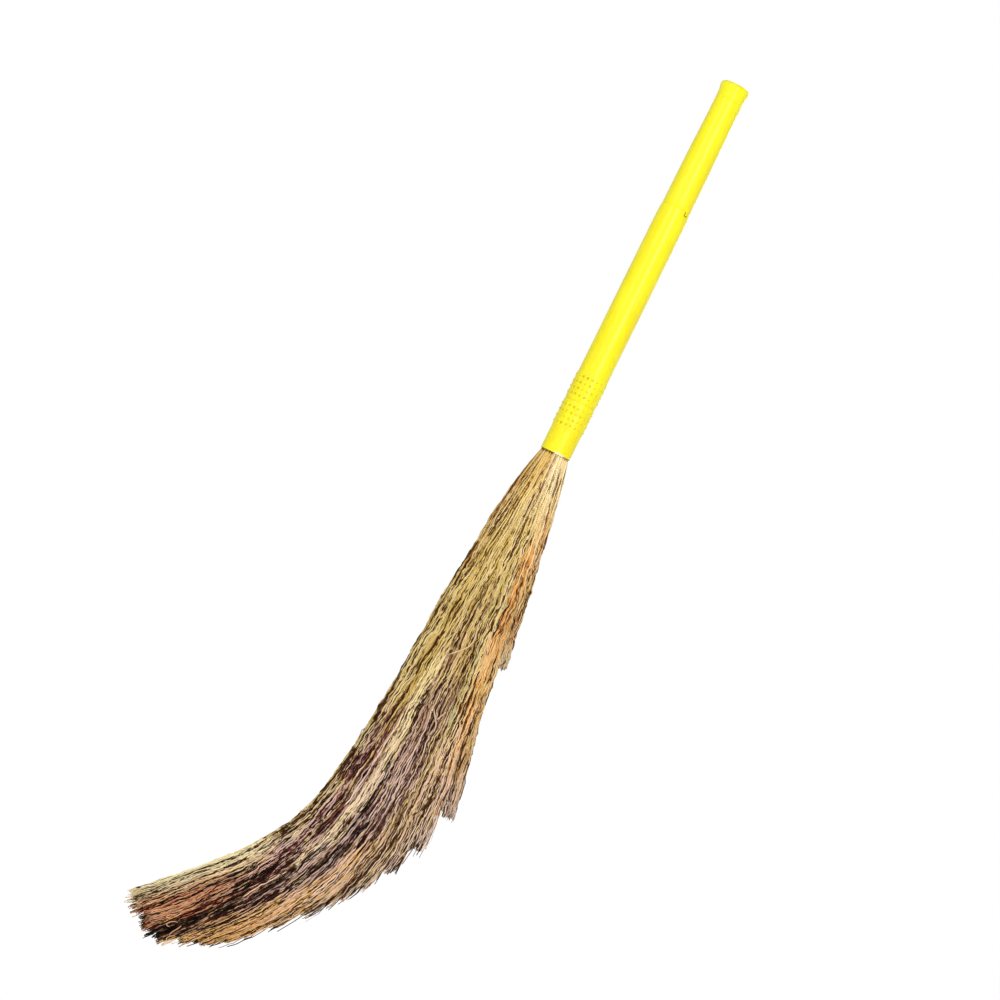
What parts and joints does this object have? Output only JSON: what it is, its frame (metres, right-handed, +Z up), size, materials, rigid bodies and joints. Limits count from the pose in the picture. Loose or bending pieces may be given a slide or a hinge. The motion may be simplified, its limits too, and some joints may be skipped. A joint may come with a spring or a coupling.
{
  "type": "soft grass broom",
  "caption": "Soft grass broom: a head of dried grass swept to one side, bound into a slim two-piece plastic handle with a nubbed grip band and a flared end cap.",
  "frame": {"origin": "on the handle's axis, at the groove between the two bands of nubs, where a hand holds the broom", "axes": "+Z up along the handle to the cap, grass hanging below, its tips swept to -X, the flat of the head facing -Y and +Y"},
  "size_m": [0.2941, 0.0512, 1.1305],
  "materials": {
    "handle_plastic": "satin",
    "grass_straw": "dry grass",
    "grass_rust": "dry grass",
    "grass_wine": "dry grass",
    "binding_wire": "galvanised"
  },
  "bodies": {
    "root": {"end_cap": "handle_plastic", "upper_tube": "handle_plastic", "grip_sleeve": "handle_plastic", "grass_bunch_left": "grass_straw", "grass_bunch_front": "grass_straw", "grass_bunch_right": "grass_rust", "grass_bunch_back": "grass_wine", "lower_binding": "binding_wire", "upper_binding": "binding_wire"}
  },
  "joints": []
}
